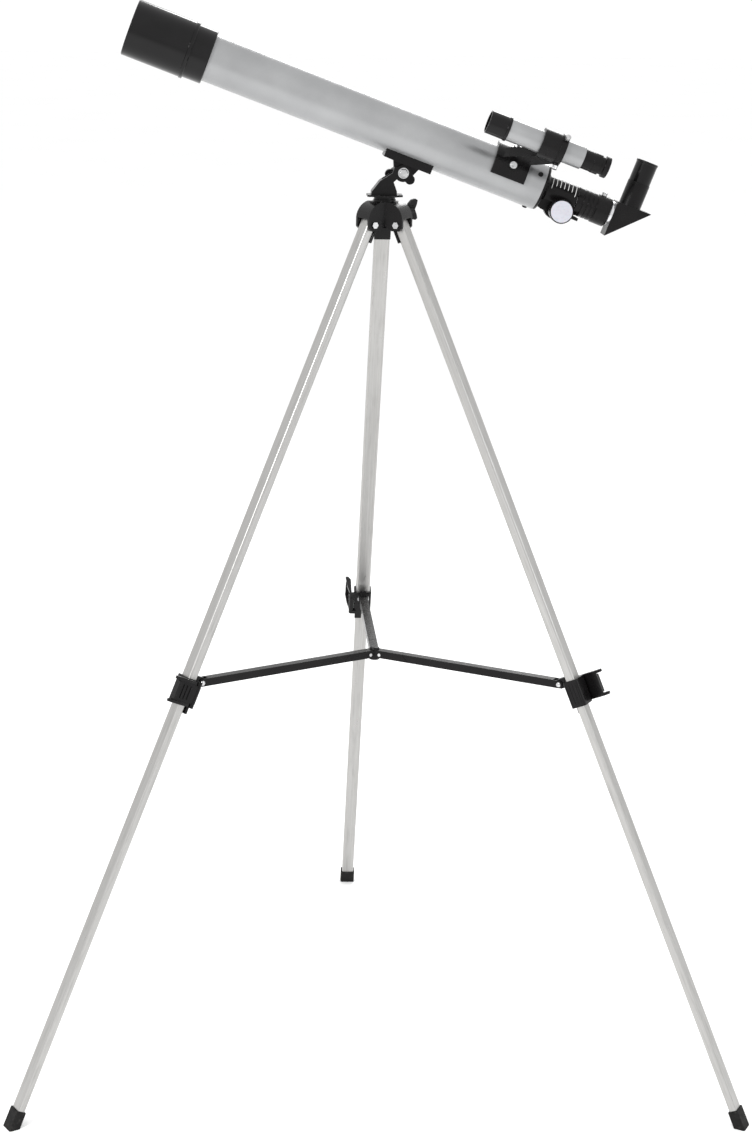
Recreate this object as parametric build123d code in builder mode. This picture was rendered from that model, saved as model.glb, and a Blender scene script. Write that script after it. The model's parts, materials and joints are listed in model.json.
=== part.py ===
from build123d import *

import os
from math import copysign, cos, pi, radians, sin, sqrt

# A small refracting telescope on a folding aluminium tripod.
# Millimetres, +Z up.  The origin is on the floor, in the middle of the tripod's bounding box.
# One tripod leg points along +Y, and at rest the telescope lies in the XZ plane, its front
# towards -X and raised.

os.makedirs("parts", exist_ok=True)

# ---------------------------------------------------------------- tripod: driving dimensions
LEG_ANGLE = 24.66  # each leg's lean from the vertical, open
HINGE_RADIUS = 22.95  # leg hinge from the tripod's axis
HINGE_HEIGHT = 1047.0
LEG_AZIMUTHS = {1: 90.0, 2: 210.0, 3: 330.0}

UPPER_WIDTH, UPPER_DEPTH, UPPER_WALL = 18.7, 11.4, 0.8
LOWER_WIDTH, LOWER_DEPTH, LOWER_WALL = 16.7, 9.4, 0.9
UPPER_CORNER = 2.4
LEG_GAP = (UPPER_WIDTH - 2 * UPPER_WALL - LOWER_WIDTH) / 2
UPPER_TOP = -6.0  # along the leg from its hinge, positive towards the foot
UPPER_END = 592.0
LOWER_TOP = 486.0
PLUG_END = 30.0

PIN_RADIUS = 2.95
PIN_CLEARANCE = 0.05
SLOT_HALF = 10.3  # half the slot between the head's two ears
EAR_OUTER = 14.2

FOOT_WIDTH, FOOT_DEPTH, FOOT_HEIGHT = 20.0, 12.8, 23.0
FOOT_CORNER = 2.0

COLLAR_TOP, COLLAR_END = 577.0, 610.0
COLLAR_HALF_WIDTH, COLLAR_HALF_DEPTH = 11.4, 9.6
EAR_INSET, EAR_ALONG = 17.5, 578.0  # spreader pivot: inwards from the leg's axis, and along it
EAR_RADIUS, EAR_HALF = 5.2, 3.9
LEVER_INSET, LEVER_SIDE = 7.5, -15.2  # the lever pin, beside the collar
LEVER_PIN_RADIUS = 1.6

ARM_HALF_WIDTH, ARM_HALF_HEIGHT, ARM_WALL = 5.4, 4.75, 1.1
STUB_TOP_REACH, STUB_LOW_REACH = 40.0, 48.5  # the spreader centre's stubs, along their top and bottom
STUB_GAP = 0.5
RIVET_RADIUS = 2.0

# ---------------------------------------------------------------- telescope: driving dimensions
TILT = 20.3  # the optical axis above the horizontal, at rest
PIVOT_X, PIVOT_Z = 21.0, 1107.2
PIVOT_DROP, PIVOT_ALONG = 42.7, 2.5  # the altitude pivot from the tube's datum: below and behind

TUBE_RADIUS, TUBE_WALL = 28.0, 1.2
TUBE_FRONT, TUBE_REAR = -270.0, 160.9
CELL_RADIUS, CELL_FRONT, CELL_REAR = 32.0, -292.0, -257.5
HOOD_RADIUS, HOOD_FRONT, HOOD_REAR = 33.35, -355.7, -280.0
HOOD_BORE, SPIGOT_RADIUS = 31.5, 31.9
LENS_RADIUS = 26.0

NECK_RADIUS, NECK_REAR = 16.5, 205.5
DRAW_RADIUS, DRAW_BORE, DRAW_FRONT = 14.0, 11.2, 118.0
HOLDER_FRONT, HOLDER_REAR, HOLDER_RADIUS = 206.0, 248.0, 16.8
PINION_ALONG, PINION_DROP, PINION_PITCH = 191.0, 17.0, 4.0
PINION_TEETH = 10
RACK_PITCH = 2 * pi * PINION_PITCH / PINION_TEETH
KNOB_RADIUS, KNOB_INNER, KNOB_OUTER = 14.2, 19.0, 32.5

DIAGONAL_FRONT, DIAGONAL_SIZE, DIAGONAL_TOP, DIAGONAL_HALF = 252.0, 43.0, 17.0, 14.8
EYEPIECE_ALONG, SOCKET_TOP, EYEPIECE_TOP = 269.5, 46.0, 72.5

FINDER_ANGLE = 45.0  # round the tube, from the top towards the near side
FINDER_OFFSET = 70.0
FINDER_RADIUS = 13.2
FINDER_FRONT, FINDER_HOOD_REAR, FINDER_REAR, FINDER_END = 68.5, 94.0, 187.0, 219.0
RING_FRONT, RING_REAR, RING_RADIUS = 134.0, 163.0, 18.0

# ---------------------------------------------------------------- frames
lean = radians(LEG_ANGLE)
leg_length = HINGE_HEIGHT / cos(lean)  # hinge to floor, along the leg's axis
foot_radius = HINGE_RADIUS + leg_length * sin(lean)
foot_half_reach = FOOT_DEPTH / 2 / cos(lean)
rear_extent = foot_radius + foot_half_reach
front_extent = rear_extent / 2 + (FOOT_WIDTH / 2 - FOOT_CORNER) * cos(radians(30)) + FOOT_CORNER * 0.87
AXIS_Y = -(rear_extent - front_extent) / 2

up = Vector(0, 0, 1)


def head_plane(height):
    """The horizontal plane at a height, centred on the tripod's axis."""
    return Plane(origin=(0, AXIS_Y, height))


def leg_plane(number, along=0.0):
    """Across a leg: x outwards, z down the leg, and the hinge at along = 0."""
    azimuth = radians(LEG_AZIMUTHS[number])
    outward = Vector(cos(azimuth), sin(azimuth), 0)
    down = outward * sin(lean) - up * cos(lean)
    across = outward * cos(lean) + up * sin(lean)
    hinge = Vector(0, AXIS_Y, HINGE_HEIGHT) + outward * HINGE_RADIUS
    return Plane(origin=hinge + down * along, x_dir=across, z_dir=down)


def side_plane(number):
    """A leg's own upright plane: x outwards from the tripod's axis, y up from the floor."""
    azimuth = radians(LEG_AZIMUTHS[number])
    outward = Vector(cos(azimuth), sin(azimuth), 0)
    return Plane(origin=(0, AXIS_Y, 0), x_dir=outward, z_dir=outward.cross(up))


tilt = radians(TILT)
rearward = Vector(cos(tilt), 0, -sin(tilt))
tube_up = Vector(sin(tilt), 0, cos(tilt))
near = Vector(0, -1, 0)
pivot = Vector(PIVOT_X, AXIS_Y, PIVOT_Z)
datum = pivot + tube_up * PIVOT_DROP - rearward * PIVOT_ALONG

tube_side = Plane(origin=datum, x_dir=rearward, z_dir=near)


def tube_across(along, rise=0.0):
    """Square across the telescope: x to the far side, y up, z rearwards."""
    return Plane(origin=datum + rearward * along + tube_up * rise, x_dir=-near, z_dir=rearward)


def tube_radial(along, angle, reach):
    """Facing out from the optical axis at an angle from the top towards the near side."""
    outward = tube_up * cos(radians(angle)) + near * sin(radians(angle))
    return Plane(origin=datum + rearward * along + outward * reach, x_dir=rearward, z_dir=outward)


finder_centre = tube_radial(0, FINDER_ANGLE, FINDER_OFFSET).origin
finder_side = Plane(origin=finder_centre, x_dir=rearward, z_dir=near)


def save(piece, name):
    piece.part.label = name
    export_step(piece.part, f"parts/{name}.step")


def turned(plane, outline):
    """A solid turned about the plane's x axis from (along, radius) points."""
    with BuildPart() as piece:
        with BuildSketch(plane):
            with BuildLine():
                Polyline(*outline, close=True)
            make_face()
        revolve(axis=Axis(plane.origin, plane.x_dir))
    return piece


def tube_section(width, depth, corner, wall):
    """A rounded rectangular tube's section, in the current sketch."""
    RectangleRounded(depth, width, corner)
    RectangleRounded(depth - 2 * wall, width - 2 * wall, corner - wall, mode=Mode.SUBTRACT)


# ---------------------------------------------------------------- legs
def make_upper_leg(number):
    with BuildPart() as upper_leg:
        with BuildSketch(leg_plane(number, UPPER_TOP)):
            tube_section(UPPER_WIDTH, UPPER_DEPTH, UPPER_CORNER, UPPER_WALL)
        extrude(amount=UPPER_END - UPPER_TOP)
        with BuildSketch(leg_plane(number, UPPER_TOP)):
            with Locations((-UPPER_DEPTH / 2, 0)):
                Rectangle(4, 13)
        extrude(amount=22, mode=Mode.SUBTRACT)
        with BuildSketch(side_plane(number)):
            with Locations((HINGE_RADIUS, HINGE_HEIGHT)):
                Circle(PIN_RADIUS + 0.4)
        extrude(amount=UPPER_WIDTH, both=True, mode=Mode.SUBTRACT)
    save(upper_leg, f"upper_leg_{number}")


def make_leg_plug(number):
    inner_width = UPPER_WIDTH - 2 * UPPER_WALL - 0.1
    inner_depth = UPPER_DEPTH - 2 * UPPER_WALL - 0.1
    with BuildPart() as leg_plug:
        with BuildSketch(leg_plane(number, UPPER_TOP)):
            RectangleRounded(inner_depth, inner_width, UPPER_CORNER - UPPER_WALL)
        extrude(amount=PLUG_END - UPPER_TOP)
        with BuildSketch(leg_plane(number, UPPER_TOP)):
            with Locations((-5.4, 0)):
                Rectangle(2.6, 12.8)
        extrude(amount=21.8)
        with BuildSketch(leg_plane(number, 4)):
            with Locations((-7.2, 0)):
                RectangleRounded(2.8, 19.8, 1.2)
        extrude(amount=16)
        with BuildSketch(side_plane(number)):
            with Locations((HINGE_RADIUS, HINGE_HEIGHT)):
                Circle(PIN_RADIUS + PIN_CLEARANCE)
        extrude(amount=UPPER_WIDTH, both=True, mode=Mode.SUBTRACT)
    save(leg_plug, f"leg_plug_{number}")


def make_lower_leg(number):
    with BuildPart() as lower_leg:
        with BuildSketch(leg_plane(number, LOWER_TOP)):
            tube_section(LOWER_WIDTH, LOWER_DEPTH, UPPER_CORNER - UPPER_WALL - LEG_GAP + 0.2, LOWER_WALL)
        extrude(amount=leg_length - 9 - LOWER_TOP)
    save(lower_leg, f"lower_leg_{number}")


def make_foot(number):
    """A rubber boot: it sleeves the lower leg's end and its sole is flat on the floor."""
    boot_top = leg_length - FOOT_HEIGHT
    with BuildPart() as foot:
        with BuildSketch(leg_plane(number, boot_top)):
            RectangleRounded(FOOT_DEPTH, FOOT_WIDTH, FOOT_CORNER)
        extrude(amount=FOOT_HEIGHT + FOOT_DEPTH)
        chamfer(foot.faces().sort_by(Axis.Z)[-1].edges(), 0.8)
        with BuildSketch(leg_plane(number, boot_top)):
            RectangleRounded(LOWER_DEPTH + 0.04, LOWER_WIDTH + 0.04, 1.4)
        extrude(amount=FOOT_HEIGHT - 9, mode=Mode.SUBTRACT)
        split(bisect_by=Plane.XY, keep=Keep.TOP)
    save(foot, f"foot_{number}")


# ---------------------------------------------------------------- leg clamps and levers
def make_clamp_collar(number):
    """The collar at the upper leg's end, with the spreader's ear and the lever's lugs."""
    with BuildPart() as clamp_collar:
        with BuildSketch(leg_plane(number, COLLAR_TOP)):
            RectangleRounded(2 * COLLAR_HALF_DEPTH, 2 * COLLAR_HALF_WIDTH, 2.5)
        extrude(amount=COLLAR_END - COLLAR_TOP)
        for rib in range(4):
            with BuildSketch(leg_plane(number, COLLAR_TOP + 4)):
                with Locations((-6.3 + 4.2 * rib, COLLAR_HALF_WIDTH), (-6.3 + 4.2 * rib, -COLLAR_HALF_WIDTH)):
                    Rectangle(1.2, 0.8)
            extrude(amount=COLLAR_END - COLLAR_TOP - 8, mode=Mode.SUBTRACT)
        with BuildSketch(leg_plane(number, COLLAR_TOP - 5)):
            with Locations((-COLLAR_HALF_DEPTH - 3.6, 0)):
                Rectangle(9.0, 2 * EAR_HALF)
        extrude(amount=12)
        with BuildSketch(ear_plane(number)):
            Circle(EAR_RADIUS)
        extrude(amount=EAR_HALF, both=True)
        lug_spans = ((COLLAR_TOP, 5.0), (COLLAR_END - 5.0, 5.0))
        for lug_start, lug_height in lug_spans:
            with BuildSketch(leg_plane(number, lug_start)):
                with Locations((-LEVER_INSET, LEVER_SIDE)):
                    Circle(3.2)
                with Locations((-LEVER_INSET, -COLLAR_HALF_WIDTH)):
                    Rectangle(6.4, 5.6)
            extrude(amount=lug_height)
        with BuildSketch(leg_plane(number, COLLAR_TOP)):
            with Locations((-LEVER_INSET, LEVER_SIDE)):
                Circle(LEVER_PIN_RADIUS)
        extrude(amount=COLLAR_END - COLLAR_TOP)
        with BuildSketch(leg_plane(number, COLLAR_END)):
            with Locations((-7.6, -5.5)):
                Rectangle(3.4, 9)
        extrude(amount=9)
        with BuildSketch(leg_plane(number, COLLAR_TOP - 6)):
            RectangleRounded(UPPER_DEPTH + 0.04, UPPER_WIDTH + 0.04, UPPER_CORNER)
        extrude(amount=UPPER_END - COLLAR_TOP + 6, mode=Mode.SUBTRACT)
        with BuildSketch(leg_plane(number, UPPER_END)):
            RectangleRounded(LOWER_DEPTH + 0.6, LOWER_WIDTH + 0.6, 1.9)
        extrude(amount=40, mode=Mode.SUBTRACT)
        with BuildSketch(ear_plane(number)):
            Circle(RIVET_RADIUS + PIN_CLEARANCE)
        extrude(amount=EAR_HALF + 1, both=True, mode=Mode.SUBTRACT)
    save(clamp_collar, f"clamp_collar_{number}")


def ear_plane(number):
    """Across the spreader's outer pivot, its z along the pivot pin."""
    across_leg = leg_plane(number, EAR_ALONG)
    centre = across_leg.origin - across_leg.x_dir * EAR_INSET
    side = side_plane(number)
    return Plane(origin=centre, x_dir=side.x_dir, z_dir=side.z_dir)


def make_clamp_lever(number):
    """A flip lever on the collar's side pin, with two flared finger lips."""
    back = LEVER_SIDE - 2.5
    with BuildPart() as clamp_lever:
        with BuildSketch(leg_plane(number, COLLAR_TOP + 5.4)):
            with Locations((-LEVER_INSET, LEVER_SIDE)):
                Circle(3.4)
            with Locations((8.0, LEVER_SIDE - 1.2)):
                Rectangle(31, 2.6)
            with Locations((22.2, LEVER_SIDE - 3.4)):
                Rectangle(2.6, 7.0)
        extrude(amount=COLLAR_END - COLLAR_TOP - 10.8)
        lip_height = 3.4
        for lip_start in (COLLAR_TOP + 0.6, COLLAR_END - 0.6 - lip_height):
            with BuildSketch(leg_plane(number, lip_start)):
                with BuildLine():
                    Polyline((-2.5, LEVER_SIDE + 0.1), (23.6, LEVER_SIDE + 0.1), (29.5, LEVER_SIDE - 3.2),
                             (29.5, LEVER_SIDE - 6.9), (10.0, LEVER_SIDE - 5.2), (-2.5, back), close=True)
                make_face()
            extrude(amount=lip_height)
        with BuildSketch(leg_plane(number, COLLAR_TOP + 3.5)):
            with Locations((10.5, LEVER_SIDE - 1.2)):
                Rectangle(26, 2.6)
        extrude(amount=COLLAR_END - COLLAR_TOP - 7.0)
        with BuildSketch(leg_plane(number, COLLAR_TOP + 8)):
            for rib in range(3):
                with Locations((3 + 5 * rib, LEVER_SIDE - 2.9)):
                    Rectangle(1.4, 1.2)
        extrude(amount=COLLAR_END - COLLAR_TOP - 16)
        with BuildSketch(leg_plane(number, COLLAR_TOP)):
            with Locations((-LEVER_INSET, LEVER_SIDE)):
                Circle(LEVER_PIN_RADIUS + PIN_CLEARANCE)
        extrude(amount=COLLAR_END - COLLAR_TOP, mode=Mode.SUBTRACT)
    save(clamp_lever, f"clamp_lever_{number}")


# ---------------------------------------------------------------- spreader
ear_height = HINGE_HEIGHT - EAR_ALONG * cos(lean) - EAR_INSET * sin(lean)
ear_reach = HINGE_RADIUS + EAR_ALONG * sin(lean) - EAR_INSET * cos(lean)


def channel_corners(inner_top, inner_low, outer):
    """A spreader channel seen from the side, from its bevelled inner end outwards."""
    low, top = ear_height - ARM_HALF_HEIGHT, ear_height + ARM_HALF_HEIGHT
    return [(inner_low, low), (outer, low), (outer, top), (inner_top, top)]


def make_spreader_arm(number):
    """A channel, open below, with the rivet that hinges it to the collar's ear."""
    bevel_top, bevel_low = STUB_TOP_REACH + STUB_GAP, STUB_LOW_REACH + STUB_GAP
    with BuildPart() as spreader_arm:
        with BuildSketch(side_plane(number)):
            with BuildLine():
                Polyline(*channel_corners(bevel_top, bevel_low, ear_reach), close=True)
            make_face()
            with Locations((ear_reach, ear_height)):
                Circle(ARM_HALF_HEIGHT)
        extrude(amount=ARM_HALF_WIDTH, both=True)
        with BuildSketch(side_plane(number)):
            with Locations(((bevel_low + ear_reach) / 2 - 5, ear_height - ARM_WALL)):
                Rectangle(ear_reach - bevel_low - 4, 2 * ARM_HALF_HEIGHT)
            with Locations((ear_reach + 1, ear_height)):
                Rectangle(2 * EAR_RADIUS + 7, 2 * EAR_RADIUS + 2)
        extrude(amount=ARM_HALF_WIDTH - ARM_WALL, both=True, mode=Mode.SUBTRACT)
        with BuildSketch(ear_plane(number)):
            Circle(RIVET_RADIUS)
        extrude(amount=ARM_HALF_WIDTH + 0.4, both=True)
        for offset in (ARM_HALF_WIDTH, -ARM_HALF_WIDTH - 1.1):
            with BuildSketch(ear_plane(number).offset(offset)):
                Circle(RIVET_RADIUS + 1.1)
            extrude(amount=1.1)
    save(spreader_arm, f"spreader_arm_{number}")


def make_spreader_centre():
    with BuildPart() as spreader_centre:
        with BuildSketch(head_plane(ear_height - 8)):
            Circle(6.4)
        extrude(amount=15.5)
        fillet(spreader_centre.faces().sort_by(Axis.Z)[-1].edges(), 2.5)
        for number in LEG_AZIMUTHS:
            with BuildSketch(side_plane(number)):
                with BuildLine():
                    Polyline(*channel_corners(STUB_TOP_REACH, STUB_LOW_REACH, 0), close=True)
                make_face()
            extrude(amount=ARM_HALF_WIDTH, both=True)
        for number in LEG_AZIMUTHS:
            with BuildSketch(side_plane(number)):
                with Locations(((11 + STUB_TOP_REACH) / 2, ear_height - ARM_WALL)):
                    Rectangle(STUB_TOP_REACH - 14, 2 * ARM_HALF_HEIGHT)
            extrude(amount=ARM_HALF_WIDTH - ARM_WALL, both=True, mode=Mode.SUBTRACT)
    save(spreader_centre, "spreader_centre")


def make_centre_rivets():
    with BuildPart() as centre_rivets:
        for number in LEG_AZIMUTHS:
            side = side_plane(number)
            rivet_centre = side.origin + side.x_dir * 9.5 + up * (ear_height - 0.5)
            for offset in (ARM_HALF_WIDTH, -ARM_HALF_WIDTH - 1.1):
                head = Plane(origin=rivet_centre, x_dir=side.x_dir, z_dir=side.z_dir).offset(offset)
                with BuildSketch(head):
                    Circle(RIVET_RADIUS)
                extrude(amount=1.1)
    save(centre_rivets, "centre_rivets")


for leg_number in LEG_AZIMUTHS:
    make_upper_leg(leg_number)
    make_leg_plug(leg_number)
    make_lower_leg(leg_number)
    make_foot(leg_number)
    make_clamp_collar(leg_number)
    make_clamp_lever(leg_number)
    make_spreader_arm(leg_number)
make_spreader_centre()
make_centre_rivets()

# ---------------------------------------------------------------- tripod head
SPINDLE_RADIUS, SPINDLE_END = 7.0, 1051.0
NECK_TOP = 1075.8
KNOB_HEIGHT, KNOB_AZIMUTH = 1062.0, 30.0
knob_outward = Vector(cos(radians(KNOB_AZIMUTH)), sin(radians(KNOB_AZIMUTH)), 0)
knob_centre = Vector(0, AXIS_Y, KNOB_HEIGHT)


def knob_plane(reach):
    """Square across the azimuth knob's axis, x level and y upright."""
    return Plane(origin=knob_centre + knob_outward * reach, x_dir=up.cross(knob_outward), z_dir=knob_outward)


def make_tripod_head():
    """A three-lobed casting: a slot between two ears for each leg, and the azimuth bore."""
    with BuildPart() as tripod_head:
        for number in LEG_AZIMUTHS:
            with BuildSketch(side_plane(number)):
                with BuildLine():
                    Polyline((0, 1050), (10, 1044), (17, 1040), (26.5, 1040), (30.5, 1044), (30.5, 1055))
                    ThreePointArc((30.5, 1055), (25.5, 1066.5), (14.5, 1073.4))
                    Polyline((14.5, 1073.4), (0, 1073.4), (0, 1050))
                make_face()
            extrude(amount=EAR_OUTER, both=True)
        with BuildSketch(head_plane(1073)):
            Circle(13.4)
        extrude(amount=NECK_TOP - 1073)
        for number in LEG_AZIMUTHS:
            with BuildSketch(side_plane(number)):
                with BuildLine():
                    Polyline((12.5, 1020), (12.5, 1049), (17, 1056.2), (26, 1057), (28.6, 1054.5), (40, 1054.5),
                             (40, 1020), close=True)
                make_face()
            extrude(amount=SLOT_HALF, both=True, mode=Mode.SUBTRACT)
            with BuildSketch(side_plane(number)):
                with Locations((HINGE_RADIUS, HINGE_HEIGHT)):
                    Circle(PIN_RADIUS + PIN_CLEARANCE)
            extrude(amount=EAR_OUTER + 1, both=True, mode=Mode.SUBTRACT)
        with BuildSketch(knob_plane(12)):
            RectangleRounded(12, 12, 2.5)
        extrude(amount=16)
        with BuildSketch(head_plane(1030)):
            Circle(SPINDLE_RADIUS + PIN_CLEARANCE)
        extrude(amount=60, mode=Mode.SUBTRACT)
        with BuildSketch(knob_plane(0)):
            Circle(2.5 + PIN_CLEARANCE)
        extrude(amount=40, mode=Mode.SUBTRACT)
    save(tripod_head, "tripod_head")


def make_hinge_bolts():
    """One bolt and nut through each pair of ears."""
    with BuildPart() as hinge_bolts:
        for number in LEG_AZIMUTHS:
            side = side_plane(number)
            centre = side.origin + side.x_dir * HINGE_RADIUS + up * HINGE_HEIGHT
            cross = Plane(origin=centre, x_dir=side.x_dir, z_dir=side.z_dir)
            with BuildSketch(cross.offset(-EAR_OUTER)):
                Circle(PIN_RADIUS)
            extrude(amount=2 * EAR_OUTER)
            for offset in (EAR_OUTER, -EAR_OUTER - 2.6):
                with BuildSketch(cross.offset(offset)):
                    RegularPolygon(4.1, 6)
                extrude(amount=2.6)
    save(hinge_bolts, "hinge_bolts")


def make_azimuth_knob():
    """A two-winged screw that locks the turning head."""
    half_wing = [(33.0, 0), (34.2, 7), (38.8, 11.5), (43.5, 12.6), (46.5, 10.8), (45.5, 6), (42.8, 0)]
    with BuildPart() as azimuth_knob:
        with BuildSketch(knob_plane(SPINDLE_RADIUS + 0.15)):
            Circle(2.5)
        extrude(amount=28)
        with BuildSketch(knob_plane(29)):
            Circle(5.4)
        extrude(amount=11)
        for side in (1, -1):
            with BuildSketch(Plane(origin=knob_centre, x_dir=knob_outward, z_dir=knob_outward.cross(up))):
                with BuildLine():
                    Polyline(*[(reach, side * rise) for reach, rise in half_wing], close=True)
                make_face()
            extrude(amount=2.1, both=True)
    save(azimuth_knob, "azimuth_knob")


make_tripod_head()
make_hinge_bolts()
make_azimuth_knob()

# ---------------------------------------------------------------- turning head and altitude pivot
CHEEK_INNER, CHEEK_OUTER = 6.4, 10.4
DISC_BOTTOM, DISC_TOP = 1079.2, 1081.4
BASE_TOP = 1085.5
LOBE_START, LOBE_END = 19.2, 28.5  # the altitude knob's lobes, out from the pivot's middle


def make_yoke():
    """The turning head: a spindle, a scalloped disc and two slanted cheeks."""
    cheek_plane = Plane(origin=(0, AXIS_Y, 0), x_dir=(1, 0, 0), z_dir=(0, -1, 0))
    with BuildPart() as yoke:
        with BuildSketch(head_plane(SPINDLE_END)):
            Circle(SPINDLE_RADIUS)
        extrude(amount=DISC_TOP - SPINDLE_END)
        with BuildSketch(head_plane(NECK_TOP + 0.15)):
            Circle(12.6)
        extrude(amount=DISC_BOTTOM - NECK_TOP)
        with BuildSketch(head_plane(DISC_BOTTOM)):
            Circle(21.0)
            with PolarLocations(19.0, 6, 30):
                Circle(4.6)
        extrude(amount=DISC_TOP - DISC_BOTTOM)
        with BuildSketch(head_plane(DISC_TOP)):
            with Locations((-1.2, 0)):
                RectangleRounded(30, 2 * CHEEK_OUTER, 3)
        extrude(amount=BASE_TOP - DISC_TOP)
        with BuildSketch(cheek_plane):
            with BuildLine():
                Polyline((-16.2, DISC_TOP), (-15.8, BASE_TOP), (-6.3, 1097.8), (8.2, 1107.0), (10.5, 1114.5),
                         (PIVOT_X, PIVOT_Z + 6), (PIVOT_X, PIVOT_Z - 9), (13.5, 1099.8), (9.8, 1096.5),
                         (13.8, BASE_TOP), (13.8, DISC_TOP), close=True)
            make_face()
            with Locations((PIVOT_X, PIVOT_Z)):
                Circle(9.6)
        extrude(amount=CHEEK_OUTER, both=True)
        with BuildSketch(cheek_plane):
            with Locations((PIVOT_X, PIVOT_Z)):
                Circle(14.5)
            with BuildLine():
                Polyline((-4, 1099), (8, 1125), (40, 1125), (40, 1099), (10, 1091), close=True)
            make_face()
        extrude(amount=CHEEK_INNER, both=True, mode=Mode.SUBTRACT)
        with BuildSketch(cheek_plane):
            with Locations((PIVOT_X, PIVOT_Z)):
                Circle(3.0)
        extrude(amount=30, both=True, mode=Mode.SUBTRACT)
        with BuildSketch(head_plane(SPINDLE_END - 1)):
            Circle(2.6)
        extrude(amount=14, mode=Mode.SUBTRACT)
    save(yoke, "yoke")


def make_azimuth_bolt():
    """The bolt and washer that hold the spindle up in the tripod head."""
    with BuildPart() as azimuth_bolt:
        with BuildSketch(head_plane(SPINDLE_END)):
            Circle(2.5)
        extrude(amount=12)
        with BuildSketch(head_plane(SPINDLE_END - 1.4)):
            Circle(6.6)
        extrude(amount=1.4)
        with BuildSketch(head_plane(SPINDLE_END - 5)):
            RegularPolygon(4.4, 6)
        extrude(amount=3.6)
    save(azimuth_bolt, "azimuth_bolt")


def make_altitude_bolt():
    cross = Plane(origin=pivot, x_dir=(1, 0, 0), z_dir=(0, -1, 0))
    with BuildPart() as altitude_bolt:
        with BuildSketch(cross.offset(-LOBE_END + 1.5)):
            Circle(3.0)
        extrude(amount=LOBE_END - 1.5 + CHEEK_OUTER)
        with BuildSketch(cross.offset(CHEEK_OUTER)):
            Circle(6.4)
        extrude(amount=0.9)
        with BuildSketch(cross.offset(CHEEK_OUTER + 0.9)):
            RegularPolygon(5.4, 6)
        extrude(amount=3.4)
        chamfer(altitude_bolt.faces().sort_by(Axis.Y)[0].edges(), 0.7)
    save(altitude_bolt, "altitude_bolt")


def make_altitude_knob():
    """A three-lobed nut on the far side that clamps the altitude pivot."""
    cross = Plane(origin=pivot, x_dir=(1, 0, 0), z_dir=(0, 1, 0))
    lobes = (75, 195, 315)
    with BuildPart() as altitude_knob:
        with BuildSketch(cross.offset(CHEEK_OUTER + 0.3)):
            Circle(8.5)
        extrude(amount=LOBE_START - CHEEK_OUTER)
        with BuildSketch(cross.offset(LOBE_START)):
            Circle(10.0)
            for angle in lobes:
                reach = Vector(cos(radians(angle)), -sin(radians(angle)))
                with Locations(reach * 14.4):
                    Circle(5.8)
                with Locations(reach * 8.0):
                    Circle(6.5)
        extrude(amount=LOBE_END - LOBE_START)
        fillet(altitude_knob.faces().sort_by(Axis.Y)[-1].edges(), 1.2)
        with BuildSketch(cross):
            Circle(3.0 + PIN_CLEARANCE)
        extrude(amount=LOBE_END + 1, mode=Mode.SUBTRACT)
    save(altitude_knob, "altitude_knob")


def make_tube_saddle():
    """The block screwed under the main tube, with the tab that turns between the cheeks."""
    with BuildPart() as tube_saddle:
        with BuildSketch(tube_side):
            with BuildLine():
                Polyline((-27, -18), (32.3, -18), (31.9, -32.6), (17, -32.6), (13.5, -40), (13.5, -46),
                         (-8.5, -46), (-8.5, -40), (-14.5, -32.6), (-27, -32.2), close=True)
            make_face()
        extrude(amount=17, both=True)
        with BuildSketch(tube_side):
            with Locations((2.5, -43)):
                Rectangle(80, 20)
        extrude(amount=40, both=True, mode=Mode.SUBTRACT)
        with BuildSketch(tube_side):
            with BuildLine():
                Polyline((-14.5, -31), (-8.6, -44), (13.6, -44), (19, -31), close=True)
            make_face()
            with Locations((PIVOT_ALONG, -PIVOT_DROP)):
                Circle(10.8)
        extrude(amount=6.0, both=True)
        with BuildSketch(tube_side):
            with Locations((PIVOT_ALONG, -PIVOT_DROP)):
                Circle(3.0 + PIN_CLEARANCE)
        extrude(amount=20, both=True, mode=Mode.SUBTRACT)
        with BuildSketch(tube_across(-60)):
            Circle(TUBE_RADIUS + 0.02)
        extrude(amount=130, mode=Mode.SUBTRACT)
    save(tube_saddle, "tube_saddle")


make_yoke()
make_azimuth_bolt()
make_altitude_bolt()
make_altitude_knob()
make_tube_saddle()

# ---------------------------------------------------------------- main tube and its front
def make_main_tube():
    with BuildPart() as main_tube:
        with BuildSketch(tube_across(TUBE_FRONT)):
            Circle(TUBE_RADIUS)
            Circle(TUBE_RADIUS - TUBE_WALL, mode=Mode.SUBTRACT)
        extrude(amount=TUBE_REAR - TUBE_FRONT)
    save(main_tube, "main_tube")


def make_lens_cell():
    """A sleeve on the tube's front, with the lens seat and a spigot for the hood."""
    seat = LENS_RADIUS + 0.05
    lens_cell = turned(tube_side, [
        (CELL_REAR, TUBE_RADIUS + 0.02), (CELL_REAR, CELL_RADIUS - 0.8), (CELL_REAR - 0.8, CELL_RADIUS),
        (HOOD_REAR, CELL_RADIUS), (HOOD_REAR, SPIGOT_RADIUS - 0.02), (CELL_FRONT, SPIGOT_RADIUS - 0.02),
        (CELL_FRONT, seat), (-277, seat), (-277, 24.6), (TUBE_FRONT, 24.6), (TUBE_FRONT, TUBE_RADIUS + 0.02),
    ])
    save(lens_cell, "lens_cell")


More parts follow.
